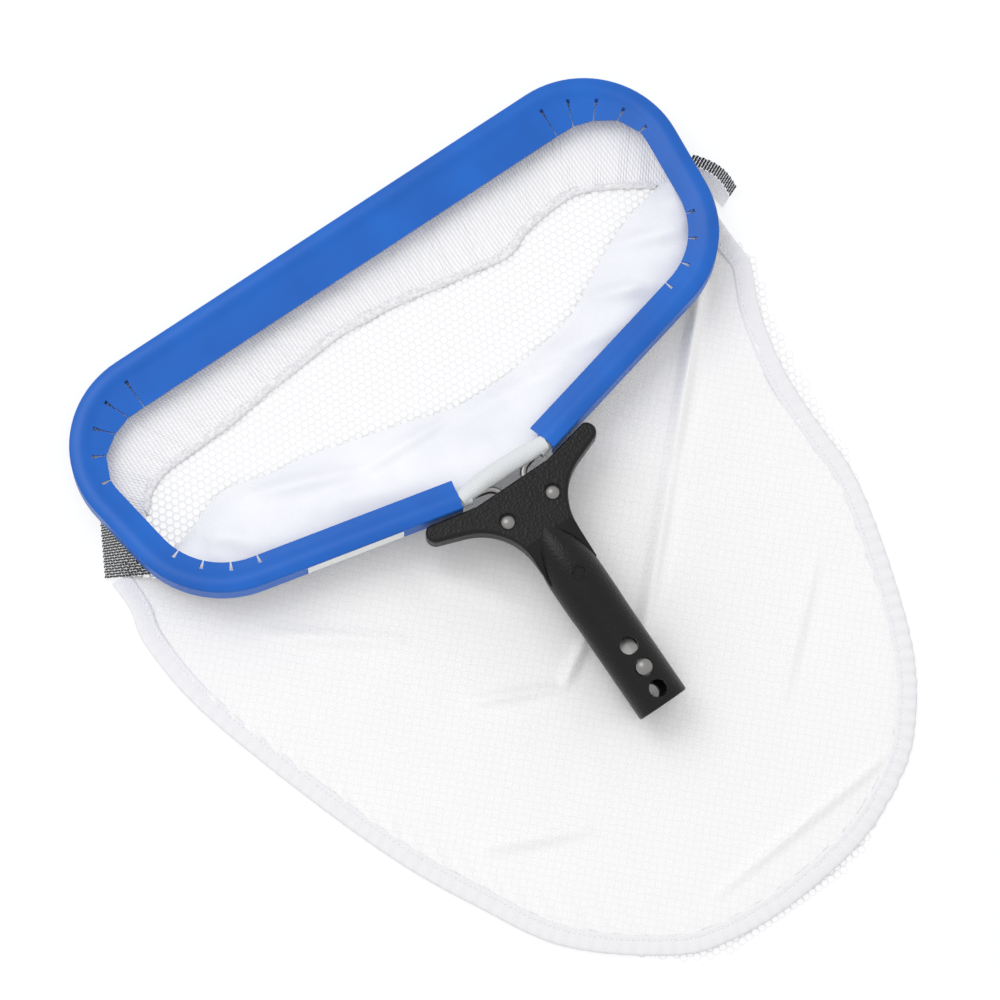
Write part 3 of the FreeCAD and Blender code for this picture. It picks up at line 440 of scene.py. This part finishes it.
def inward(line, i):
    """Which way is into the bag, at a point of its rim."""
    run = (line[min(i + 2, len(line) - 1)] - line[max(i - 2, 0)]).normalized()
    return Vector((-run.y, run.x))


# Net margin: how far the coarse net sticks out past the hem, in mm, wide at the right and the tail.
def bell(value, middle, width):
    return math.exp(-(((value - middle) / width) ** 2))


def margin(p):
    side = bell(p.y, 205, 62) if p.x > 0 else 0
    tail = bell(p.x, -8, 62) if p.y > 380 else 0
    return 0.3 + 7.5 * side + 6.5 * tail


# Bottom net
# The whole underside is knitted polyester net with six-sided holes about 4 mm across. It is cut
# to the rim and shows inside the mouth, through the cloth, and as a raw margin past the hem.
net_thread, tree, shader = new_finish("knitted_white_polyester_net", "#F7F6F6", 0.7, Sheen_Weight=0.2)
where = add(tree, "ShaderNodeTexCoord").outputs["Object"]
twist = add(tree, "ShaderNodeTexNoise", {"Vector": where, "Scale": 1000 / 0.9, "Detail": 2.0})
emboss(tree, shader, twist.outputs[0], 0.10)
tint(tree, shader, twist.outputs[0], "#E6E6EA", "#F8F7F8")

net_front, net_half = 50, 150
net_shape = [rim[i] + inward(rim, i) * max(0.5, 4 - margin(rim[i])) for i in range(0, len(rim), 3)]
front_edge = [(-190, 92), (-168, 66), (-net_half, 56), (-60, net_front)]
front_edge += [(20, net_front), (net_half - 30, 54), (172, 76), (188, 90)]
net_shape += [Vector(p) for p in front_edge]


def inside(x, y, shape):
    """Whether a point lies within a closed outline."""
    found = False
    for a, b in zip(shape, shape[1:] + shape[:1]):
        if (a.y > y) != (b.y > y) and x < (b.x - a.x) * (y - a.y) / (b.y - a.y) + a.x:
            found = not found
    return found


def net_height(x, back):
    """The net lies on the table in low waves."""
    wave = 0.5 + 0.5 * rough(x, back, 26, 1.5)
    return 0.45 + 0.9 * wave * (0.35 if back > 124 else 1)


hole_pitch, row_pitch, opening = 4.2, 3.64, 0.80
corners = [(math.sin(math.radians(60 * k)), math.cos(math.radians(60 * k))) for k in range(6)]
circle = hole_pitch / math.sqrt(3)
points, faces = [], []
for row in range(int(400 / row_pitch) + 1):
    back = net_front + 1 + row * row_pitch
    shift = hole_pitch / 2 if row % 2 else 0
    for column in range(-52, 53):
        x = column * hole_pitch + shift
        if not inside(x, back, net_shape):
            continue
        first = len(points)
        for part in (1.0, opening):
            for sx, sy in corners:
                px, py = x + sx * circle * part, back + sy * circle * part
                bend = 0.8 * rough(px, py, 55, 9.0)
                points.append(on_table(px + bend, py + bend * 0.6, net_height(px, py)))
        faces += [(first + k, first + (k + 1) % 6, first + 6 + (k + 1) % 6, first + 6 + k) for k in range(6)]
mesh = bpy.data.meshes.new("bottom_knitted_net")
mesh.from_pydata(points, [], faces)
mesh.polygons.foreach_set("use_smooth", [True] * len(faces))
mesh.materials.append(net_thread)
bottom = bpy.data.objects.new("bottom_knitted_net", mesh)
scene.collection.objects.link(bottom)
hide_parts("bottom_net")
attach(bottom, "net")

# Front collar
# A strip of fine rib knit sewn under the sleeve along the leading edge. It drops off the wire to
# the table and lies flat, ribs running back from the lip, to a rolled seam where the net starts.
rib_knit, tree, shader = new_finish("fine_white_rib_knit", "#F7F6F6", 0.8, Sheen_Weight=0.2)
where = add(tree, "ShaderNodeTexCoord").outputs["Object"]
# Ribs 2.1 mm apart, as the mesh has them; the stitches within a rib are drawn at 1.4 mm.
scale = 1000 * math.pi / 10
ribs = add(
    tree, "ShaderNodeTexWave", {"Vector": where, "Scale": scale / 2.1, "Distortion": 0.8}, bands_direction="X"
)
loops = add(
    tree, "ShaderNodeTexWave", {"Vector": where, "Scale": scale / 1.4, "Distortion": 1.5}, bands_direction="Y"
)
knit = add(tree, "ShaderNodeMath", {0: ribs.outputs[1], 1: loops.outputs[1], 2: 0.0}, operation="MULTIPLY_ADD")
tint(tree, shader, ribs.outputs[1], "#E6E7EC", "#FCFBFC")
emboss(tree, shader, knit.outputs[0], 0.15)

collar_foot = flowing(
    [(184, 96), (176, 88), (166, 79), (145, 66), (125, 58), (96, 60), (74, 66), (20, 57), (-20, 52), (-60, 55),
     (-110, 60), (-150, 63), (-166, 74), (-174, 90), (-182, 106)],
    0.5,
)  # fmt: skip
wire_fine = even(wire_line(22), 0.5)
collar_head = [p for p in wire_fine if p.y < (84 if p.x > 0 else 96)]
collar_rows = []
for i in range(41):
    v = i / 40
    row = []
    for j in range(1101):
        u = j / 1100
        h = collar_head[int(u * (len(collar_head) - 1))]
        f = collar_foot[int(u * (len(collar_foot) - 1))]
        side = min(1.0, max(0.0, abs(h.x) - 120) / 60)
        top, low = in_mouth(h.x * 0.99, h.y + 1, wire_down - 4.6), on_table(f.x, f.y, 1.6)
        p = top.lerp(low, v)
        drop = (1 - v) ** (3.2 - 2.0 * side)
        wave = 1.6 * abs(rough(f.x, v * 50, 34, 3.0)) * math.sin(math.pi * v) + 1.2 * bell(v, 0.97, 0.05)
        p.z = low.z + (top.z - low.z) * drop + 0.001 * (wave + 0.2 * math.sin(2 * math.pi * j / 4.2))
        row.append(p)
    collar_rows.append(row)
collar = surface("front_rib_collar", collar_rows, rib_knit)
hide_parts("front_collar")
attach(collar, "net")

# Collar seam
# The raw edges of the collar and the net are rolled together and overlocked, so the seam is a
# soft cord of cloth, greyer than the cloth round it and darker in small cells, that wanders a little.
seam_thread, tree, shader = new_finish("rolled_overlocked_seam", "#F7F6F6", 0.8, Sheen_Weight=0.2)
where = add(tree, "ShaderNodeTexCoord").outputs["Object"]
wraps = add(tree, "ShaderNodeTexVoronoi", {"Vector": where, "Scale": 1000 / 1.7})
tint(tree, shader, wraps.outputs["Distance"], "#CFD0D6", "#F4F3F5")
emboss(tree, shader, wraps.outputs["Distance"], 0.3)
rows = []
seam_line = [p for p in collar_foot if abs(p.x) < 168][::2]
for i, spot in enumerate(seam_line):
    x, middle = spot.x, spot.y + 0.8 * rough(spot.x, 0, 40, 7.0)
    wide, tall = 3.0 + 0.9 * rough(x, 0, 22, 2.0), 1.3 + 0.4 * rough(x, 0, 13, 5.0)
    ring = []
    for k in range(14):
        a = 2 * math.pi * k / 14
        ring.append(on_table(x, middle + wide * math.cos(a), 1.9 + tall * math.sin(a)))
    rows.append(ring)
seam = surface("rolled_collar_seam", rows, seam_thread, around=True)
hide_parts("collar_seam")
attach(seam, "net")

# Back panel
# Smooth white cloth sewn under the sleeve along the back and sides of the mouth. It comes down in
# a slack billow to the net, where its hemmed front edge stands up a little in the mouth.
foot = flowing(
    [(-186, 104), (-157, 99), (-129, 90), (-101, 96), (-80, 99), (-54, 106), (-27, 113), (4, 122), (33, 123),
     (80, 117), (105, 106), (122, 97), (144, 88), (165, 83), (186, 80)],
    1.0,
)  # fmt: skip
panel_voile_painted_shade, tree, shader = new_finish("smooth_white_polyester_voile_painted_shade", "#ECEEF6", 0.8, Sheen_Weight=0.2)
where = add(tree, "ShaderNodeTexCoord").outputs["Object"]
# Threads 0.3 mm apart, too fine to show, are drawn at 1.2 mm.
threads = weave(tree, where, 1.2)
# The cloth is white; its darker, cooler lavender tone is painted shade, for the shade it hangs in inside the mouth,
# varied at random in clouds 42 mm across.
shade_clouds = add(tree, "ShaderNodeTexNoise", {"Vector": where, "Scale": 1000 / 42, "Detail": 2.0})
tint(tree, shader, shade_clouds.outputs[0], "#DDE0EC", "#F8F9FC")
emboss(tree, shader, threads, 0.05)


def fold_height(x, back, lines):
    """How high the folds lift the cloth at a point. Each fold: two ends, its height, its half width."""
    spot, total = Vector((x, back)), 0.0
    for a, b, high, wide in lines:
        a, b = Vector(a), Vector(b)
        run = b - a
        t = (spot - a).dot(run) / run.length_squared
        near = a + run * min(1.0, max(0.0, t))
        gap = (spot - near).length
        if gap < wide * 3:
            arch = math.sin(math.pi * (0.12 + 0.76 * min(1.0, max(0.0, t))))
            total = max(total, high * arch * math.exp(-((gap / wide) ** 2)))
    return total


# Slack folds of the back panel, across and back in mm.
panel_folds = [
    ((-118, 100), (-60, 124), 5.0, 5.0),
    ((-64, 124), (6, 126), 4.0, 4.0),
    ((-10, 128), (60, 136), 3.4, 6.0),
    ((96, 112), (128, 128), 4.6, 5.0),
    ((128, 96), (160, 112), 4.0, 5.0),
    ((-150, 104), (-128, 130), 4.0, 6.0),
    ((60, 126), (96, 138), 3.0, 6.0),
    ((-90, 128), (-40, 148), 3.0, 7.0),
]
left_start = [p for p in even(wire_line(22), 1) if p.x < 0 and p.y > 92]
right_start = [p for p in even(wire_line(22), 1) if p.x > 0 and p.y > 74]
head = left_start + [left_start[-1] + (right_start[0] - left_start[-1]) * (k / 44) for k in range(1, 44)] + right_start
columns, lengths = 300, 34
panel_rows = []
for i in range(lengths + 1):
    v = i / lengths
    row = []
    for j in range(columns + 1):
        u = j / columns
        h = head[min(int(u * (len(head) - 1)), len(head) - 1)]
        f = foot[min(int(u * (len(foot) - 1)), len(foot) - 1)]
        top = in_mouth(h.x * 0.985, h.y - 1.5, wire_down - 4.6)
        low = on_table(f.x, f.y, 2.2 + 1.2 * rough(f.x, f.y, 22, 6.0))
        p = top.lerp(low, v)
        billow = 5.0 * math.sin(math.pi * v) * (1 + 0.8 * rough(f.x, v * 40, 45, 2.0))
        crease = 1.1 * rough(f.x * 1.4, v * 30, 13, 8.0) * math.sin(math.pi * min(1, v * 1.1))
        roll_up = 1.1 * bell(v, 0.985, 0.02)
        pleat = fold_height(p.x * 1000, 228 - p.y * 1000, panel_folds)
        p.z += (billow + crease + roll_up + pleat * min(1, v * 2)) * 0.001
        p.z = max(p.z, 0.0016)
        row.append(p)
    panel_rows.append(row)
panel = surface("back_cloth_panel", panel_rows, panel_voile_painted_shade)
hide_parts("back_panel")
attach(panel, "net")

# Upper panel
# The bag's top: the same fine white cloth, laid over the net from behind the mouth to the tail.
# The net prints through it, and it keeps the folds that it got when it was pushed flat.
panel_cloth, tree, shader = new_finish("fine_woven_white_polyester_over_net", "#F7F6F6", 0.85, Sheen_Weight=0.15)
where = add(tree, "ShaderNodeTexCoord").outputs["Object"]
threads = weave(tree, where, 1.2)
# The net below prints through as cells 4.2 mm across, turned so that the cells stand on a point.
turned = add(tree, "ShaderNodeMapping", {"Vector": where, "Rotation": (0, 0, math.radians(45))})
cells = add(
    tree,
    "ShaderNodeTexVoronoi",
    {"Vector": turned.outputs[0], "Scale": 1000 / 4.2, "Randomness": 0.25},
    feature="DISTANCE_TO_EDGE",
    voronoi_dimensions="2D",
)
print_through = add(
    tree, "ShaderNodeMapRange", {"Value": cells.outputs["Distance"], "From Min": 0.03, "From Max": 0.16}
)
tint(tree, shader, print_through.outputs[0], "#F1F1F3", "#F5F5F7")
relief = add(tree, "ShaderNodeMath", {0: print_through.outputs[0], 1: -0.4, 2: threads}, operation="MULTIPLY_ADD")
emboss(tree, shader, relief.outputs[0], 0.09)

# Each fold: its two ends across and back in mm, its height and its half width.
folds = [
    ((157, 140), (86, 212), 7.0, 3.4),
    ((86, 212), (15, 283), 5.4, 3.6),
    ((-9, 266), (-37, 281), 4.4, 3.0),
    ((-37, 281), (-82, 260), 4.0, 3.0),
    ((98, 410), (-33, 420), 3.6, 2.6),
    ((-150, 170), (-96, 210), 3.2, 4.5),
    ((40, 150), (-20, 170), 1.6, 9.0),
    ((120, 300), (60, 352), 3.2, 3.6),
    ((-120, 330), (-70, 352), 3.2, 3.4),
    ((-60, 190), (-30, 232), 1.5, 8.0),
]


front_line = []
for k in range(401):
    x = -199 + 373 * k / 400
    front_line.append(Vector((x, 122 + 3 * bell(k, 200, 90) - 23 * min(1.0, max(0.0, (-x - 168) / 28)))))
edge_line = [rim[i] + inward(rim, i) * (margin(rim[i]) + 7.0) for i in range(len(rim))][::-1]
edge_line = [p for p in edge_line if p.y > (118 if p.x > 0 else 99)]
edge_even = even([tuple(p) for p in edge_line], sum((b - a).length for a, b in zip(edge_line, edge_line[1:])) / 400.5)
rows = []
for i in range(161):
    v = i / 160
    row = []
    for j in range(401):
        a, b = front_line[j], edge_even[min(j, len(edge_even) - 1)]
        x, back = a.x + (b.x - a.x) * v, a.y + (b.y - a.y) * v
        pucker = 1.6 * bell(v, 1.0, 0.08) * (0.5 + 0.5 * math.sin(j * 0.85 + 2 * rough(x, back, 30, 2.0)))
        waves = 0.9 * rough(x, back, 46, 0.3) + 0.45 * rough(x, back, 17, 1.3)
        up = 1.9 + fold_height(x, back, folds) + waves + 0.7 * pucker
        up = 1.5 + (up - 1.5) * min(1.0, (1 - v) / 0.035)
        row.append(on_table(x, back, max(1.5, up)))
    rows.append(row)
upper = surface("upper_cloth_panel", rows, panel_cloth)
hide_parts("upper_panel")
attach(upper, "net")

# Hem
# A strip of the same cloth folded over both raw edges and sewn down with one row of lockstitch.
# Round the tail the extra length is gathered into small tucks.
hem_cloth, tree, shader = new_finish("folded_woven_hem_tape", "#F7F6F6", 0.85, Sheen_Weight=0.15)
where = add(tree, "ShaderNodeTexCoord").outputs["Object"]
threads = weave(tree, where, 1.2)
tint(tree, shader, threads, "#E9E9EE", "#F4F4F8")
emboss(tree, shader, threads, 0.10)
# Across the tape, in mm: inward from its outer edge and up from the table; the dip is the stitch row.
tape = [(11, 0.4), (6, 0.3), (1.6, 0.3), (0.3, 0.9), (0.0, 1.8), (0.5, 2.6), (1.8, 3.0), (4.4, 3.0), (6.6, 2.9),
        (7.6, 2.75), (8.2, 2.55), (8.8, 2.75), (9.8, 2.9), (10.8, 2.5), (11.1, 1.9)]  # fmt: skip
fine_rim = flowing(rim_points, 1.0)
rows, stitch_line = [], []
for i, p in enumerate(fine_rim):
    if p.y < (112 if p.x > 0 else 97):
        continue
    into = inward(fine_rim, i)
    gather = 0.3 + bell(p.x, 70, 95) if p.y > 300 else 0.3
    tuck = gather * math.sin(i * 2 * math.pi / 7.5 + 1.5 * rough(p.x, p.y, 30, 3.0))
    row = []
    for s, up in tape:
        q = p + into * (margin(p) + s + 0.5 * gather * rough(i * 1.0, s, 5, 2.0))
        lift = 0.75 * tuck * (1 if up > 1.5 else 0.2) * (1.0 - s / 13)
        row.append(on_table(q.x, q.y, max(0.15, up + lift + 0.25 * rough(q.x, q.y, 15, 4.0))))
    rows.append(row)
    stitch_line.append(row[10])
hem = surface("folded_hem", rows, hem_cloth)
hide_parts("hem_binding")
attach(hem, "net")

# The stitches: white thread laid 3 mm at a time in the dip, each a short twisted hump.
stitch_thread, tree, shader = new_finish("white_bonded_sewing_thread", "#F3F5F9", 0.55)
where = add(tree, "ShaderNodeTexCoord").outputs["Object"]
ply = add(tree, "ShaderNodeTexNoise", {"Vector": where, "Scale": 1000 / 0.5, "Detail": 2.0})
emboss(tree, shader, ply.outputs[0], 0.1)


def sew(name, line, finish, stitch=3, thick=0.32):
    """A row of stitches along a line of points a millimetre apart."""
    points, faces = [], []
    for i in range(0, len(line) - stitch, stitch):
        a, b = line[i], line[i + stitch - 1]
        run = (b - a).normalized()
        side = run.cross(Vector((0, 0, 1))).normalized()
        first = len(points)
        for k in range(5):
            t = k / 4
            centre = a.lerp(b, t) + Vector((0, 0, 0.00045 * math.sin(math.pi * t)))
            r = thick * 0.001 * (0.45 + 0.55 * math.sin(math.pi * t))
            for m in range(6):
                c = math.pi * m / 3
                points.append(centre + side * (r * math.cos(c)) + Vector((0, 0, r * math.sin(c))))
        for k in range(4):
            for m in range(6):
                n = (m + 1) % 6
                faces.append((first + k * 6 + m, first + k * 6 + n, first + k * 6 + 6 + n, first + k * 6 + 6 + m))
        faces.append([first + m for m in range(5, -1, -1)])
        faces.append([first + 24 + m for m in range(6)])
    mesh = bpy.data.meshes.new(name)
    mesh.from_pydata(points, [], faces)
    mesh.polygons.foreach_set("use_smooth", [True] * len(faces))
    mesh.materials.append(finish)
    made = bpy.data.objects.new(name, mesh)
    scene.collection.objects.link(made)
    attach(made, "net")
    return made


hem_stitches = sew("hem_stitches", stitch_line, stitch_thread)

# Gussets
# Two short strips of heavy woven mesh, black and white yarns about 2 mm apart, let into the bag's
# shoulders so that water can leave. The left one stands up beside the edge, the right is folded.
black_yarn, tree, shader = new_finish("black_coated_polyester_yarn", "#0E0F10", 0.5, IOR=1.5)
where = add(tree, "ShaderNodeTexCoord").outputs["Object"]
plies = add(tree, "ShaderNodeTexNoise", {"Vector": where, "Scale": 1000 / 0.7, "Detail": 2.0})
emboss(tree, shader, plies.outputs[0], 0.1)
white_yarn, tree, shader = new_finish("white_coated_polyester_yarn", "#D5D9DD", 0.45, IOR=1.5)
where = add(tree, "ShaderNodeTexCoord").outputs["Object"]
plies = add(tree, "ShaderNodeTexNoise", {"Vector": where, "Scale": 1000 / 0.7, "Detail": 2.0})
emboss(tree, shader, plies.outputs[0], 0.1)


def woven_strip(name, node, corners, across, along, bow=0.0):
    """Flat yarns over and under each other between four corners, black one way and white the other.

    The strip bows outward, away from the mouth, by a number of millimetres in its middle.
    """
    a, b, c, d = [on_table(*p) for p in corners]
    out = (b - a).cross(d - a).normalized()

    def spot(u, v):
        return a.lerp(b, u).lerp(d.lerp(c, u), v) + Vector((0.001 * bow * math.sin(math.pi * u), 0, 0))

    points, faces, kinds = [], [], []
    for kind, count, other, wide in ((0, across, along, 0.4), (1, along, across, 0.1)):
        for i in range(count):
            for j in range(other * 2 + 1):
                t = j / (other * 2)
                wave = 0.00022 * math.cos(math.pi * (j / 2 + i)) * (1 if kind else -1)
                for side in (-wide, wide):
                    s = (i + 0.5 + side) / count
                    points.append(spot(s, t) + out * wave if kind == 0 else spot(t, s) + out * wave)
            first = len(points) - (other * 2 + 1) * 2
            for j in range(other * 2):
                faces.append((first + j * 2, first + j * 2 + 1, first + j * 2 + 3, first + j * 2 + 2))
                kinds.append(kind)
    mesh = bpy.data.meshes.new(name)
    mesh.from_pydata(points, [], faces)
    mesh.materials.append(black_yarn)
    mesh.materials.append(white_yarn)
    mesh.polygons.foreach_set("material_index", kinds)
    mesh.polygons.foreach_set("use_smooth", [True] * len(faces))
    made = bpy.data.objects.new(name, mesh)
    scene.collection.objects.link(made)
    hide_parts(node)
    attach(made, "net")
    return made


woven_strip(
    "left_woven_gusset", "left_gusset", [(-188, 62, 2), (-206, 94, 1.2), (-180, 110, 9), (-180, 66, 15)], 26, 18
)
woven_strip(
    "right_woven_gusset", "right_gusset", [(193, 80, 14), (203, 108, 11), (199.5, 109, 1.4), (190.5, 81, 4)], 20, 5, 4.0
)

# The right strip curls over, so the pale cloth that lines it shows below the yarns. Its mesh is 9 mm
# wide; 10.2 mm is declared, as the tool takes no side under 10 mm.
lining_rows = []
for i in range(25):
    u = i / 24
    row = []
    for j in range(9):
        v = j / 8
        x = (190 + 9 * u) * (1 - v) + (187 + 5 * u) * v + 4 * math.sin(math.pi * u) * (1 - v * v)
        back = (81 + 28 * u) * (1 - v) + (83 + 29 * u) * v
        row.append(on_table(x, back, (5 - 3 * u) * (1 - v) + 3 * v - 1.6 * math.sin(math.pi * v)))
    lining_rows.append(row)
lining = surface("right_gusset_lining", lining_rows, hem_cloth)
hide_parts("right_gusset")
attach(lining, "net")
